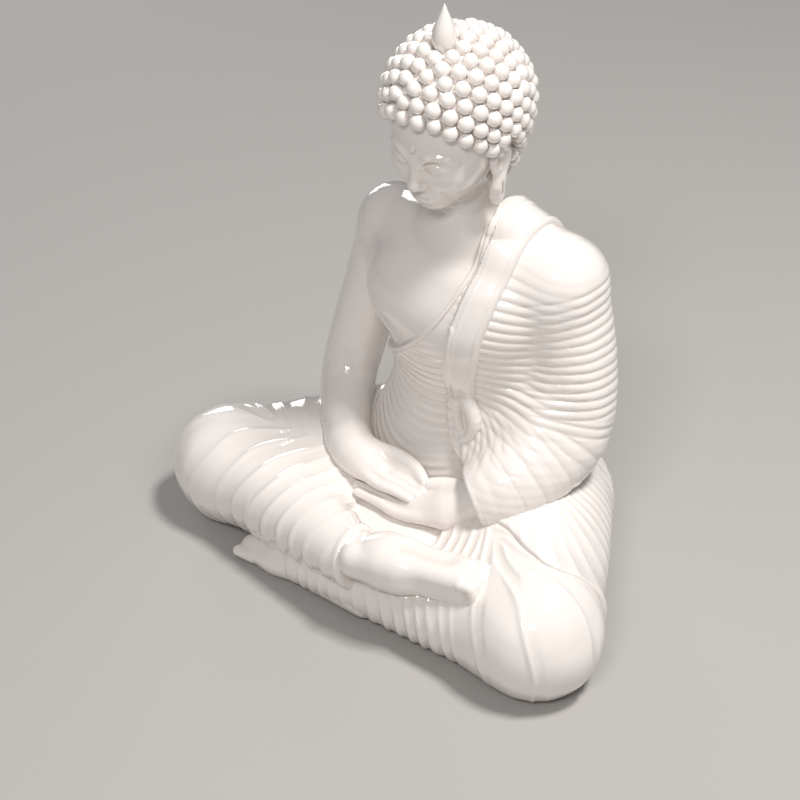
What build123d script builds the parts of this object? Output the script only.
from build123d import *

from functools import cache
import math
import os

# A seated figure in glazed white porcelain: thin hollow castings and hand-made trim, joined
# with slip before the firing. Millimetres, +Z up. The figure faces -Y and its right side is
# -X. The origin lies on the surface it stands on, under the middle of its seat.

# Driving dimensions
WALL = 4.0              # cast wall of the hollow pieces
CLOTH = 1.4             # one modelled layer of robe
SASH = 1.8              # the folded sash over that layer
RIM = 1.0               # how far the neckline's rim stands above the robe
HEIGHT = 202.0          # table to the tip of the crown flame
FLOOR = 3.0             # closing plate under the seat
VENT = 4.5              # radius of the plate's firing vent
CURL = 2.65             # radius of one curl of hair
CURL_GAP = 0.2          # clear space between two curls
NESTED = 0.93           # rows of curls nest, so they stand closer than curls in a row
BUD = 3.7               # room for the crown flame between the first curls, as a radius
FINGER = 2.0            # radius of a finger
PASSAGE = 3.0           # radius of the air passage through the neck

# The trunk's sections: height, half width, depth in front, depth behind, middle from front
TRUNK = [
    (20, 38.0, 26, 26, 12),
    (40, 31.0, 21, 22, 13),
    (55, 25.0, 17, 18, 14),
    (66, 23.5, 16, 17, 14),
    (80, 28.0, 20, 19, 13),
    (95, 32.5, 22, 21, 13),
    (108, 33.0, 19, 20, 15),
    (117, 25.0, 14, 15, 16),
    (126, 13.0, 10, 10, 14),
]

# Balls that the limbs are strung on: x, y, z, radius
NECK_LOW, NECK_HIGH = (0, 15, 118, 13.0), (0, 11, 146, 11.0)
RIGHT_SHOULDER_IN, RIGHT_SHOULDER = (-8, 17, 119, 10.5), (-33, 20, 108, 12.5)
RIGHT_UPPER, RIGHT_ELBOW = (-41, 19, 83, 10.5), (-46, 10, 50, 10.2)
RIGHT_FOREARM, RIGHT_WRIST = (-36, -5, 41, 9.0), (-21, -20, 37, 6.0)
LEFT_SHOULDER_IN, LEFT_SHOULDER = (11, 20, 122, 9.5), (33, 21, 110, 13.5)
LEFT_UPPER, LEFT_ELBOW = (40, 20, 84, 13.5), (43.5, 14, 59, 13.0)
LEFT_FOREARM, LEFT_CUFF = (37, -4, 47, 12.0), (26, -17, 41, 9.0)
RIGHT_HIP, RIGHT_KNEE, RIGHT_ANKLE = (-28, 18, 21, 21.0), (-68, -29, 19, 18.5), (0, -47, 23, 10.5)
LEFT_HIP, LEFT_KNEE, LEFT_ANKLE = (32, 18, 22, 24.0), (66, -35, 18, 20.0), (-20, -45, 9, 8.5)

SEAT, SEAT_SIZE = (0, 10, 8), (46, 38, 30)
SKULL, SKULL_SIZE = (0, 8.5, 167.5), (20.5, 22.5, 21.0)
FACE, FACE_SIZE = (0, -0.5, 151.5), (14.5, 14.5, 17.0)
HAIR = 1.2              # thickness of the cap that carries the curls
BOW = 20.0              # the head's forward tilt, in degrees
HAIRLINE = (0, -14.5, 168.5)
HAIRLINE_SLOPE = 29.0   # the hairline falls towards the nape, in degrees
FLAME_FOOT = (0, 1.0, 188.6)
FLAME = [(0.78, 0), (0.95, 0.35), (0.7, 0.68), (0, 1)]  # shares of its room and its height

# Outlines as seen from the front, as (x, z)
NECKLINE = [(15, 131), (13, 117), (9, 104), (3, 94), (-6, 84), (-20, 73), (-44, 62)]
SASH_EDGE_IN = [(14.5, 134), (14, 118), (12, 100), (10, 84), (8, 65)]
SASH_EDGE_OUT = [(17, 69), (21.5, 90), (24, 105), (25, 119), (25.5, 134)]


def bone(start, end, grow=0.0):
    """A tapering rod with round ends, strung between two balls."""
    low = Vector(*start[:3])
    high = Vector(*end[:3])
    r_low = start[3] + grow
    r_high = end[3] + grow
    length = (high - low).length
    lean = math.asin((r_low - r_high) / length)

    def on_ball(radius, centre, angle):
        return (radius * math.cos(angle), centre + radius * math.sin(angle))

    down, up = -math.pi / 2, math.pi / 2
    outline = [
        ThreePointArc((0, -r_low), on_ball(r_low, 0, (down + lean) / 2), on_ball(r_low, 0, lean)),
        Line(on_ball(r_low, 0, lean), on_ball(r_high, length, lean)),
        ThreePointArc(
            on_ball(r_high, length, lean),
            on_ball(r_high, length, (up + lean) / 2),
            (0, length + r_high),
        ),
        Line((0, length + r_high), (0, -r_low)),
    ]
    half = make_face(Plane.XZ * Curve(outline))
    return Plane(low, z_dir=high - low) * revolve(half, Axis.Z)


def egg(centre, size, turn=(0, 0, 0), grow=0.0):
    """An ellipsoid: its centre, its three half sizes, and how it is turned."""
    half_sizes = tuple(float(length + grow) for length in size)
    return Pos(*centre) * Rot(*turn) * scale(Sphere(1), by=half_sizes)


@cache
def trunk(grow=0.0, top=126):
    """The body from the seat to the collar, thicker by grow all round."""
    rings = []
    for z, width, front, back, middle in TRUNK:
        if z <= top:
            ring = Ellipse(width + grow, (front + back) / 2 + grow)
            rings.append(Pos(0, middle + (back - front) / 2, z) * ring)
    return loft(rings)


def prism(outline):
    """Everything behind and in front of an outline drawn in the front view."""
    return extrude(Plane.XZ * make_face(Polyline(*outline, close=True)), amount=90, both=True)


def slab(low, high):
    """Everything between two heights."""
    return Pos(0, 0, (low + high) / 2) * Box(300, 300, high - low)


def half(side):
    """Everything on one side of the middle: side is -1 for the figure's right, 1 for its left."""
    return Pos(side * 100, 0, 100) * Box(200, 300, 300)


@cache
def robed_trunk(grow=0.0):
    """The trunk under its robe, with the left shoulder's mass."""
    return trunk(CLOTH + grow) + bone(LEFT_SHOULDER_IN, LEFT_SHOULDER, grow)


@cache
def robe_region():
    """What the robe covers: below the neckline, on the figure's left, and across the back."""
    return prism(NECKLINE + [(-60, 20), (70, 20), (70, 134)])


@cache
def sash_region():
    return prism(SASH_EDGE_IN + SASH_EDGE_OUT)


@cache
def skull(grow=0.0):
    return egg(SKULL, SKULL_SIZE, (BOW, 0, 0), grow)


@cache
def neck():
    return bone(NECK_LOW, NECK_HIGH)


@cache
def right_shoulder():
    return bone(RIGHT_SHOULDER_IN, RIGHT_SHOULDER)


@cache
def hollow():
    """The space inside the castings, open below through the seat."""
    seat = egg(SEAT, SEAT_SIZE, grow=-WALL)
    thighs = bone(RIGHT_HIP, RIGHT_KNEE, -WALL) + bone(LEFT_HIP, LEFT_KNEE, -WALL)
    passage = Pos(0, 13, 125) * Cylinder(PASSAGE, 60)
    return (seat + thighs + trunk(-WALL, top=108) + passage) & slab(0, 200)


def torso():
    """The hollow body casting: bare chest, right shoulder and neck."""
    return trunk() + right_shoulder() + neck() - hollow()


@cache
def robe():
    """The robe's whole layer on the trunk, before it is parted."""
    return (robed_trunk() & robe_region()) - trunk() - right_shoulder() - neck()


@cache
def robe_back():
    return robe() & Pos(0, 14 + 50, 100) * Box(200, 100, 300)


@cache
def robe_front():
    """The pleated layer across the abdomen, from the neckline to the sash."""
    front = robe() & Pos(0, 14 - 50, 100) * Box(200, 100, 300)
    return front & prism([(-60, 20), (-60, 134), *SASH_EDGE_IN, (8, 20)])


@cache
def robe_chest():
    """The layer on the left of the chest, under and beside the sash."""
    front = robe() & Pos(0, 14 - 50, 100) * Box(200, 100, 300)
    return front & prism([*SASH_EDGE_IN, (8, 20), (70, 20), (70, 134)])


def robe_neckline():
    """A thin raised rim along the robe's edge on the chest."""
    inner = [(x - 0.4, z + 0.4) for x, z in NECKLINE[1:]]
    outer = [(x + 1.8, z - 1.8) for x, z in NECKLINE[1:]]
    band = prism(inner + outer[::-1]) & Pos(0, 14 - 50, 100) * Box(200, 100, 300)
    rim = (trunk(CLOTH + RIM) & band) - trunk() - right_shoulder() - neck()
    return rim - robe() - sash_region()


@cache
def shoulder_sash():
    """The folded strip over the left shoulder, hanging to the waist in front and behind."""
    strip = robed_trunk(SASH) & sash_region()
    return strip - robed_trunk() - neck() - skull()


def sash_tail():
    """The fold that falls from the sash's lower end."""
    fall = bone((13, -2, 62, 3.6), (13.5, -6, 50, 2.2)) + bone((10, -2.5, 60, 2.2), (9, -6, 51, 1.6))
    return fall - robed_trunk() - shoulder_sash()


@cache
def right_arm():
    """The bare arm, from the shoulder to the wrist, clear of the waist."""
    arm = bone(RIGHT_SHOULDER, RIGHT_UPPER) + bone(RIGHT_UPPER, RIGHT_ELBOW)
    arm = arm + bone(RIGHT_ELBOW, RIGHT_FOREARM) + bone(RIGHT_FOREARM, RIGHT_WRIST)
    return arm - trunk(CLOTH) - right_shoulder() - right_leg_form()


@cache
def left_sleeve():
    """The robed arm, from the shoulder to the open cuff."""
    sleeve = bone(LEFT_SHOULDER, LEFT_UPPER) + bone(LEFT_UPPER, LEFT_ELBOW)
    sleeve = sleeve + bone(LEFT_ELBOW, LEFT_FOREARM) + bone(LEFT_FOREARM, LEFT_CUFF)
    sleeve = sleeve - robed_trunk() - shoulder_sash() - left_leg_form() - thigh_cover()
    return sleeve.solids().sort_by(SortBy.VOLUME)[-1]


def hand(heel, knuckles, tips, thumb, spread):
    """A relaxed open hand: palm, four fingers side by side, and the thumb."""
    palm = bone((*heel, 4.0), (*knuckles, 4.2)) + bone((*heel, 4.0), tuple(
        a + b for a, b in zip(knuckles, spread)) + (3.6,))
    fingers = palm
    for k in range(4):
        share = k / 3
        root = [a + b * share for a, b in zip(knuckles, spread)]
        tip = [a + b * share for a, b in zip(tips, spread)]
        fingers = fingers + bone((*root, FINGER + 0.3), (*tip, FINGER - 0.2))
    return fingers + bone((*heel, 3.2), (*thumb, FINGER))


@cache
def right_hand():
    made = hand((-16, -19, 36), (-6, -23, 35.5), (10, -22, 35), (-4, -12, 37.5), (2, 9, 0.5))
    return made - right_arm() - right_leg_form()


@cache
def left_hand():
    made = hand((17, -20, 33.5), (3, -26, 30.5), (-13, -25, 29), (3, -15, 32), (0, 9, 0.5))
    return made - left_sleeve() - right_hand() - right_arm() - right_leg_form() - left_leg_form()


@cache
def right_leg_form():
    leg = bone(RIGHT_HIP, RIGHT_KNEE) + bone(RIGHT_KNEE, RIGHT_ANKLE)
    return leg + (egg(SEAT, SEAT_SIZE) & half(-1))


@cache
def right_leg():
    """Robed thigh, knee and shin, the shin lying over the left one."""
    return (right_leg_form() & slab(0, 200)) - trunk(CLOTH) - hollow()


@cache
def left_leg_form():
    leg = bone(LEFT_HIP, LEFT_KNEE) + bone(LEFT_KNEE, LEFT_ANKLE)
    return leg + (egg(SEAT, SEAT_SIZE) & half(1))


@cache
def left_leg():
    """Robed thigh, knee and shin, flat where it rests on the table."""
    return (left_leg_form() & slab(0, 200)) - right_leg_form() - trunk(CLOTH) - hollow()


@cache
def thigh_cover():
    """The layer that the robe's end lays over the left thigh, back from the knee."""
    cover = bone(LEFT_HIP, LEFT_KNEE, CLOTH) & Pos(0, -27 + 50, 100) * Box(200, 100, 300)
    return cover - slab(-50, 14)


def foot(heel, ball, toes, width):
    """A bare foot with five toes in a row."""
    made = bone((*heel, width * 0.55), (*ball, width * 0.6))
    made = made + bone((*heel, width * 0.5), (ball[0], ball[1] + width * 0.5, ball[2], width * 0.5))
    for k in range(5):
        side = (k - 1) * width * 0.32
        tip = (toes[0] - side * 0.25, toes[1] + side, toes[2], 2.6 - 0.22 * k)
        root = (ball[0], ball[1] + side, ball[2] + 0.6, 2.8 - 0.22 * k)
        made = made + bone(root, tip)
    return made


@cache
def right_foot():
    """Lies sole up on the left shin."""
    return foot((8, -47, 27), (38, -44, 31), (52, -42, 33.5), 9.0) - left_leg() - right_leg()


def left_foot():
    """Comes out under the right shin, its toes on the table."""
    made = foot((-22, -47, 7), (-42, -46, 5.2), (-50, -45, 3.4), 8.5) & slab(0, 60)
    return made - left_leg() - right_leg()


@cache
def robe_hem():
    """The end of the robe, spread over the left thigh below the sleeve."""
    return thigh_cover() - left_leg_form() - right_leg_form() - trunk(CLOTH)


def lap_cloth():
    """The robe gathered in the lap, which the hands rest on."""
    cloth = egg((2, -20, 22), (34, 20, 9.5)) & slab(8, 60)
    for neighbour in (right_leg(), left_leg(), right_foot(), right_hand(), left_hand()):
        cloth = cloth - neighbour
    cloth = cloth - trunk(CLOTH) - right_arm() - left_sleeve() - robe_hem() - hollow()
    return cloth.solids().sort_by(SortBy.VOLUME)[-1]


def base_plate():
    """Unglazed plate that closes the seat, with the firing vent."""
    plate = egg(SEAT, SEAT_SIZE, grow=-WALL) & slab(0, FLOOR)
    return plate - Pos(0, 22, 0) * Cylinder(VENT, 20)


@cache
def head():
    """The hollow head casting with a calm, plain face."""
    brow = egg((0, -11.5, 161.5), (10.5, 3.0, 2.6), (BOW, 0, 0))
    nose = bone((0, -13.6, 158, 1.5), (0, -16.6, 151.5, 2.3))
    lips = egg((0, -14.3, 146.3), (3.8, 1.7, 1.6), (BOW, 0, 0))
    chin = egg((0, -9.8, 139.8), (5.5, 4.2, 4.2))
    made = skull() + egg(FACE, FACE_SIZE, (BOW, 0, 0)) + brow + nose + lips + chin
    for side in (-1, 1):
        made = made + egg((side * 5.8, -12.4, 157.2), (3.6, 2.3, 1.9), (BOW, 0, 0))
    inside = skull(-WALL)
    return made - neck() - inside - hollow()


def ear(side):
    """A long ear: the shell, and the lobe that hangs below it."""
    shell = egg((side * 18.4, 4.0, 154), (2.4, 4.2, 7.0), (BOW, 0, 0))
    lobe = bone((side * 16.8, 2.5, 149, 2.2), (side * 16.2, 1.0, 139.5, 2.6))
    return (shell + lobe) - head() - neck() - hair_cap()


def above_hairline(drop=0.0):
    """Everything above the plane that the hair ends at."""
    x, y, z = HAIRLINE
    return Pos(x, y, z - drop) * Rot(-HAIRLINE_SLOPE, 0, 0) * Pos(0, 0, 60) * Box(200, 200, 120)


@cache
def hair_cap():
    """A thin cap of clay on the skull, which the curls sit on."""
    return (skull(HAIR) & above_hairline()) - skull() - egg(FACE, FACE_SIZE, (BOW, 0, 0)) - neck()


def curl_places():
    """Where the curls sit: rings round the crown, on the cap, above the hairline."""
    radii = [size + HAIR for size in SKULL_SIZE]
    mean = sum(radii) / 3 + CURL
    pitch = 2 * CURL + CURL_GAP
    first = BUD + CURL + 4 * CURL_GAP
    normal = Vector(0, math.sin(math.radians(HAIRLINE_SLOPE)), math.cos(math.radians(HAIRLINE_SLOPE)))
    turn = Rot(BOW, 0, 0)
    rows = int((math.radians(150) * mean - first) / (pitch * NESTED))
    for row in range(rows):
        polar = (first + row * pitch * NESTED) / mean
        count = int(2 * math.pi * mean * math.sin(polar) / (pitch * 1.02))
        for k in range(count):
            around = 2 * math.pi * (k + 0.5 * (row % 2)) / count
            way = (math.sin(polar) * math.cos(around), math.sin(polar) * math.sin(around), math.cos(polar))
            on_cap = [radius * part for radius, part in zip(radii, way)]
            outward = Vector(*[part / radius for part, radius in zip(way, radii)]).normalized()
            place = Pos(*SKULL) * turn * Location(Plane(tuple(on_cap), z_dir=outward))
            x, y, z = place.position
            by_ear = abs(x) > 15 and -3 < y < 9 and z < 163
            if (place.position - Vector(*HAIRLINE)).dot(normal) > CURL * 0.4 and not by_ear:
                yield place


def hair_curls():
    """Every curl is a ball with a small flat foot, set on the cap."""
    ball = Sphere(CURL, arc_size1=-50, align=(Align.CENTER, Align.CENTER, Align.MIN))
    return Compound([(place * ball).solid() for place in curl_places()])


def crown_flame():
    """The smooth bud on top of the head."""
    tall = HEIGHT - FLAME_FOOT[2]
    side = [(BUD * out, tall * up) for out, up in FLAME]
    outline = [
        Spline(*side, tangents=((0.3, 1), (-1, 0.35))),
        Line(side[-1], (0, 0)),
        Line((0, 0), side[0]),
    ]
    bud = Pos(*FLAME_FOOT) * revolve(make_face(Plane.XZ * Curve(outline)), Axis.Z)
    return bud - skull(HAIR)


def urna():
    """The small round mark on the forehead."""
    return egg((0, -14.3, 163.2), (1.3, 1.3, 1.3)) - head() - hair_cap()


PARTS = {
    "torso": torso,
    "robe_back": robe_back,
    "robe_front": robe_front,
    "robe_chest": robe_chest,
    "robe_neckline": robe_neckline,
    "shoulder_sash": shoulder_sash,
    "sash_tail": sash_tail,
    "right_arm": right_arm,
    "left_sleeve": left_sleeve,
    "right_hand": right_hand,
    "left_hand": left_hand,
    "right_leg": right_leg,
    "left_leg": left_leg,
    "right_foot": right_foot,
    "left_foot": left_foot,
    "robe_hem": robe_hem,
    "lap_cloth": lap_cloth,
    "base_plate": base_plate,
    "head": head,
    "right_ear": lambda: ear(-1),
    "left_ear": lambda: ear(1),
    "hair_cap": hair_cap,
    "hair_curls": hair_curls,
    "crown_flame": crown_flame,
    "urna": urna,
}

os.makedirs("parts", exist_ok=True)
for name, make in PARTS.items():
    shape = make()
    export_step(shape if isinstance(shape, Compound) else Compound([shape]), f"parts/{name}.step")
    print(name, len(shape.solids()), "solid(s),", round(shape.volume), "mm3")
